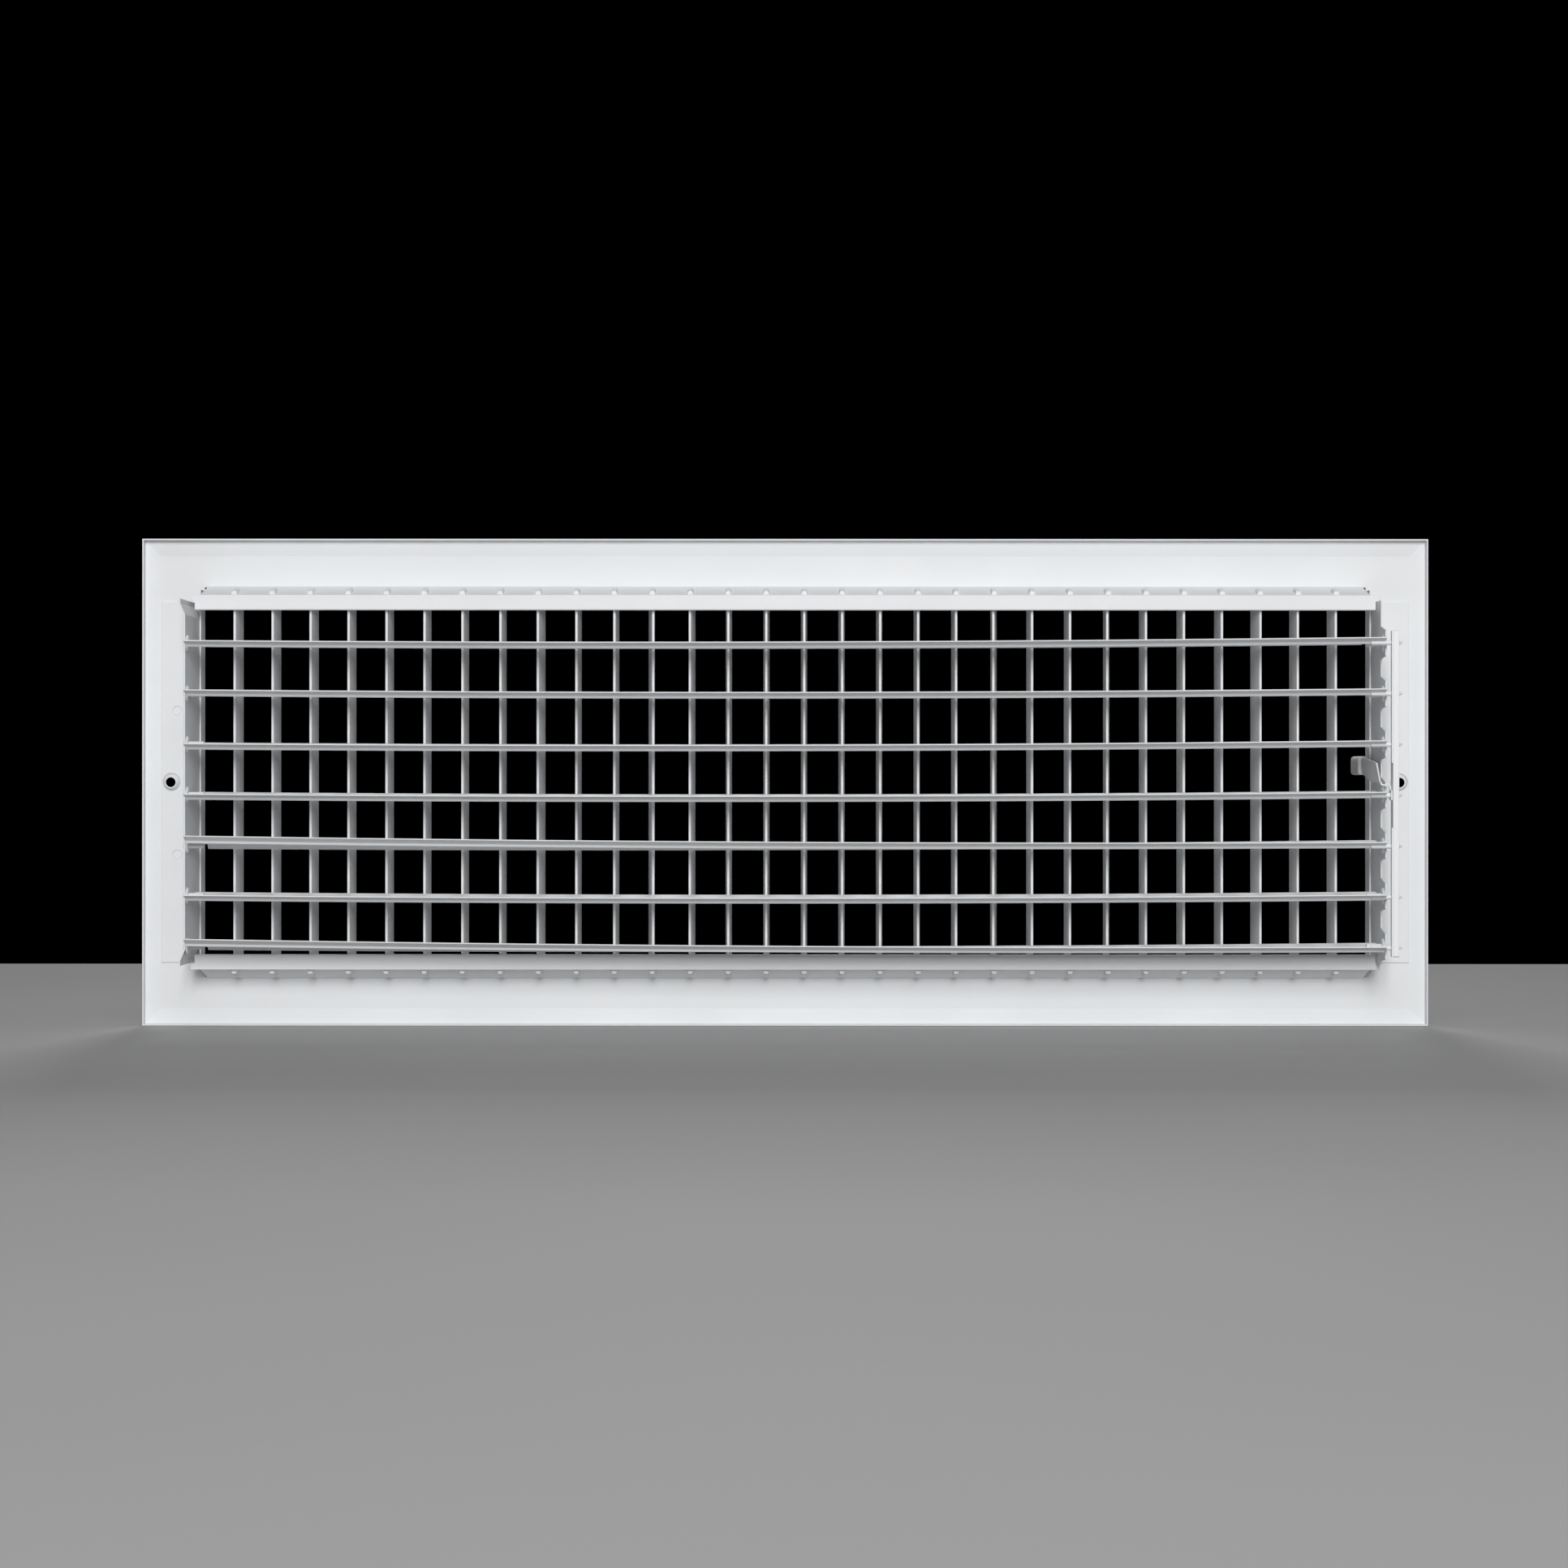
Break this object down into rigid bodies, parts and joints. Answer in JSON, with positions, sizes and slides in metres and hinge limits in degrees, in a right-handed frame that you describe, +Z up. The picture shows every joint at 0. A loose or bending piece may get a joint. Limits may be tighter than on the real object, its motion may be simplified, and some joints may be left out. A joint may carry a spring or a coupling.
{
  "type": "supply air register",
  "caption": "Rectangular wall register with upright fins to steer the air, and a linked multi-blade damper behind them worked by a side lever.",
  "frame": {"origin": "centre of the face in the wall plane, which is the rear edge of the face's return lip", "axes": "+X along the length, away from the lever end; +Y into the duct, so the face looks along -Y; +Z up"},
  "size_m": [0.654, 0.0608, 0.2476],
  "materials": {
    "white_steel": "satin white powder coat",
    "white_fin": "satin white powder coat",
    "white_link": "satin white coat",
    "white_lever": "satin white coat",
    "grey_knob": "moulded grey plastic"
  },
  "bodies": {
    "frame": {"face_plate": "white_steel", "link_end_plate": "white_steel", "plain_end_plate": "white_steel", "top_rail": "white_steel", "bottom_rail": "white_steel"},
    "fin_01": {"fin_01": "white_fin"},
    "fin_02": {"fin_02": "white_fin"},
    "fin_03": {"fin_03": "white_fin"},
    "fin_04": {"fin_04": "white_fin"},
    "fin_05": {"fin_05": "white_fin"},
    "fin_06": {"fin_06": "white_fin"},
    "fin_07": {"fin_07": "white_fin"},
    "fin_08": {"fin_08": "white_fin"},
    "fin_09": {"fin_09": "white_fin"},
    "fin_10": {"fin_10": "white_fin"},
    "fin_11": {"fin_11": "white_fin"},
    "fin_12": {"fin_12": "white_fin"},
    "fin_13": {"fin_13": "white_fin"},
    "fin_14": {"fin_14": "white_fin"},
    "fin_15": {"fin_15": "white_fin"},
    "fin_16": {"fin_16": "white_fin"},
    "fin_17": {"fin_17": "white_fin"},
    "fin_18": {"fin_18": "white_fin"},
    "fin_19": {"fin_19": "white_fin"},
    "fin_20": {"fin_20": "white_fin"},
    "fin_21": {"fin_21": "white_fin"},
    "fin_22": {"fin_22": "white_fin"},
    "fin_23": {"fin_23": "white_fin"},
    "fin_24": {"fin_24": "white_fin"},
    "fin_25": {"fin_25": "white_fin"},
    "fin_26": {"fin_26": "white_fin"},
    "fin_27": {"fin_27": "white_fin"},
    "fin_28": {"fin_28": "white_fin"},
    "fin_29": {"fin_29": "white_fin"},
    "fin_30": {"fin_30": "white_fin"},
    "damper_blade_1": {"damper_blade_1": "white_steel"},
    "damper_blade_2": {"damper_blade_2": "white_steel"},
    "damper_blade_3": {"damper_blade_3": "white_steel"},
    "damper_blade_4": {"damper_blade_4": "white_steel", "lever": "white_lever", "lever_knob": "grey_knob"},
    "damper_blade_5": {"damper_blade_5": "white_steel"},
    "damper_blade_6": {"damper_blade_6": "white_steel"},
    "damper_blade_7": {"damper_blade_7": "white_steel"},
    "link_bar": {"link_bar": "white_link"}
  },
  "joints": [
    {"name": "damper_blade_1_turn", "type": "hinge", "parent": "frame", "child": "damper_blade_1", "pos_m": [0, 0.0296, 0.06897], "axis": [1, 0, 0], "range_deg": [-10, 72]},
    {"name": "damper_blade_2_turn", "type": "hinge", "parent": "frame", "child": "damper_blade_2", "pos_m": [0, 0.0296, 0.04388], "axis": [1, 0, 0], "range_deg": [-10, 72]},
    {"name": "damper_blade_3_turn", "type": "hinge", "parent": "frame", "child": "damper_blade_3", "pos_m": [0, 0.0296, 0.01879], "axis": [1, 0, 0], "range_deg": [-10, 72]},
    {"name": "damper_turn", "type": "hinge", "parent": "frame", "child": "damper_blade_4", "pos_m": [0, 0.0296, -0.0063], "axis": [1, 0, 0], "range_deg": [-10, 72]},
    {"name": "damper_blade_5_turn", "type": "hinge", "parent": "frame", "child": "damper_blade_5", "pos_m": [0, 0.0296, -0.03139], "axis": [1, 0, 0], "range_deg": [-10, 72]},
    {"name": "damper_blade_6_turn", "type": "hinge", "parent": "frame", "child": "damper_blade_6", "pos_m": [0, 0.0296, -0.05648], "axis": [1, 0, 0], "range_deg": [-10, 72]},
    {"name": "damper_blade_7_turn", "type": "hinge", "parent": "frame", "child": "damper_blade_7", "pos_m": [0, 0.0296, -0.08157], "axis": [1, 0, 0], "range_deg": [-10, 72]},
    {"name": "link_bar_pivot", "type": "hinge", "parent": "damper_blade_4", "child": "link_bar", "pos_m": [-0.3007, 0.0396, -0.0063], "axis": [1, 0, 0], "range_deg": [-72, 10]},
    {"name": "fin_01_turn", "type": "hinge", "parent": "frame", "child": "fin_01", "pos_m": [-0.27768, 0.0065, 0], "axis": [0, 0, 1], "range_deg": [-35, 35]},
    {"name": "fin_02_turn", "type": "hinge", "parent": "frame", "child": "fin_02", "pos_m": [-0.25853, 0.0065, 0], "axis": [0, 0, 1], "range_deg": [-35, 35]},
    {"name": "fin_03_turn", "type": "hinge", "parent": "frame", "child": "fin_03", "pos_m": [-0.23938, 0.0065, 0], "axis": [0, 0, 1], "range_deg": [-39, 31]},
    {"name": "fin_04_turn", "type": "hinge", "parent": "frame", "child": "fin_04", "pos_m": [-0.22023, 0.0065, 0], "axis": [0, 0, 1], "range_deg": [-35, 35]},
    {"name": "fin_05_turn", "type": "hinge", "parent": "frame", "child": "fin_05", "pos_m": [-0.20108, 0.0065, 0], "axis": [0, 0, 1], "range_deg": [-35, 35]},
    {"name": "fin_06_turn", "type": "hinge", "parent": "frame", "child": "fin_06", "pos_m": [-0.18193, 0.0065, 0], "axis": [0, 0, 1], "range_deg": [-35, 35]},
    {"name": "fin_07_turn", "type": "hinge", "parent": "frame", "child": "fin_07", "pos_m": [-0.16278, 0.0065, 0], "axis": [0, 0, 1], "range_deg": [-30, 40]},
    {"name": "fin_08_turn", "type": "hinge", "parent": "frame", "child": "fin_08", "pos_m": [-0.14363, 0.0065, 0], "axis": [0, 0, 1], "range_deg": [-35, 35]},
    {"name": "fin_09_turn", "type": "hinge", "parent": "frame", "child": "fin_09", "pos_m": [-0.12448, 0.0065, 0], "axis": [0, 0, 1], "range_deg": [-35, 35]},
    {"name": "fin_10_turn", "type": "hinge", "parent": "frame", "child": "fin_10", "pos_m": [-0.10533, 0.0065, 0], "axis": [0, 0, 1], "range_deg": [-30, 40]},
    {"name": "fin_11_turn", "type": "hinge", "parent": "frame", "child": "fin_11", "pos_m": [-0.08618, 0.0065, 0], "axis": [0, 0, 1], "range_deg": [-35, 35]},
    {"name": "fin_12_turn", "type": "hinge", "parent": "frame", "child": "fin_12", "pos_m": [-0.06703, 0.0065, 0], "axis": [0, 0, 1], "range_deg": [-35, 35]},
    {"name": "fin_13_turn", "type": "hinge", "parent": "frame", "child": "fin_13", "pos_m": [-0.04788, 0.0065, 0], "axis": [0, 0, 1], "range_deg": [-35, 35]},
    {"name": "fin_14_turn", "type": "hinge", "parent": "frame", "child": "fin_14", "pos_m": [-0.02873, 0.0065, 0], "axis": [0, 0, 1], "range_deg": [-35, 35]},
    {"name": "fin_15_turn", "type": "hinge", "parent": "frame", "child": "fin_15", "pos_m": [-0.00958, 0.0065, 0], "axis": [0, 0, 1], "range_deg": [-35, 35]},
    {"name": "fin_16_turn", "type": "hinge", "parent": "frame", "child": "fin_16", "pos_m": [0.00958, 0.0065, 0], "axis": [0, 0, 1], "range_deg": [-35, 35]},
    {"name": "fin_17_turn", "type": "hinge", "parent": "frame", "child": "fin_17", "pos_m": [0.02873, 0.0065, 0], "axis": [0, 0, 1], "range_deg": [-35, 35]},
    {"name": "fin_18_turn", "type": "hinge", "parent": "frame", "child": "fin_18", "pos_m": [0.04788, 0.0065, 0], "axis": [0, 0, 1], "range_deg": [-32, 38]},
    {"name": "fin_19_turn", "type": "hinge", "parent": "frame", "child": "fin_19", "pos_m": [0.06703, 0.0065, 0], "axis": [0, 0, 1], "range_deg": [-41, 29]},
    {"name": "fin_20_turn", "type": "hinge", "parent": "frame", "child": "fin_20", "pos_m": [0.08618, 0.0065, 0], "axis": [0, 0, 1], "range_deg": [-35, 35]},
    {"name": "fin_21_turn", "type": "hinge", "parent": "frame", "child": "fin_21", "pos_m": [0.10533, 0.0065, 0], "axis": [0, 0, 1], "range_deg": [-35, 35]},
    {"name": "fin_22_turn", "type": "hinge", "parent": "frame", "child": "fin_22", "pos_m": [0.12448, 0.0065, 0], "axis": [0, 0, 1], "range_deg": [-31, 39]},
    {"name": "fin_23_turn", "type": "hinge", "parent": "frame", "child": "fin_23", "pos_m": [0.14363, 0.0065, 0], "axis": [0, 0, 1], "range_deg": [-35, 35]},
    {"name": "fin_24_turn", "type": "hinge", "parent": "frame", "child": "fin_24", "pos_m": [0.16278, 0.0065, 0], "axis": [0, 0, 1], "range_deg": [-35, 35]},
    {"name": "fin_25_turn", "type": "hinge", "parent": "frame", "child": "fin_25", "pos_m": [0.18193, 0.0065, 0], "axis": [0, 0, 1], "range_deg": [-35, 35]},
    {"name": "fin_26_turn", "type": "hinge", "parent": "frame", "child": "fin_26", "pos_m": [0.20108, 0.0065, 0], "axis": [0, 0, 1], "range_deg": [-35, 35]},
    {"name": "fin_27_turn", "type": "hinge", "parent": "frame", "child": "fin_27", "pos_m": [0.22023, 0.0065, 0], "axis": [0, 0, 1], "range_deg": [-35, 35]},
    {"name": "fin_28_turn", "type": "hinge", "parent": "frame", "child": "fin_28", "pos_m": [0.23938, 0.0065, 0], "axis": [0, 0, 1], "range_deg": [-35, 35]},
    {"name": "fin_29_turn", "type": "hinge", "parent": "frame", "child": "fin_29", "pos_m": [0.25853, 0.0065, 0], "axis": [0, 0, 1], "range_deg": [-35, 35]},
    {"name": "fin_30_turn", "type": "hinge", "parent": "frame", "child": "fin_30", "pos_m": [0.27768, 0.0065, 0], "axis": [0, 0, 1], "range_deg": [-35, 35]}
  ],
  "couplings": [
    {"joint": "damper_blade_1_turn", "follows": "damper_turn", "ratio": 1},
    {"joint": "damper_blade_2_turn", "follows": "damper_turn", "ratio": 1},
    {"joint": "damper_blade_3_turn", "follows": "damper_turn", "ratio": 1},
    {"joint": "damper_blade_5_turn", "follows": "damper_turn", "ratio": 1},
    {"joint": "damper_blade_6_turn", "follows": "damper_turn", "ratio": 1},
    {"joint": "damper_blade_7_turn", "follows": "damper_turn", "ratio": 1},
    {"joint": "link_bar_pivot", "follows": "damper_turn", "ratio": -1}
  ]
}
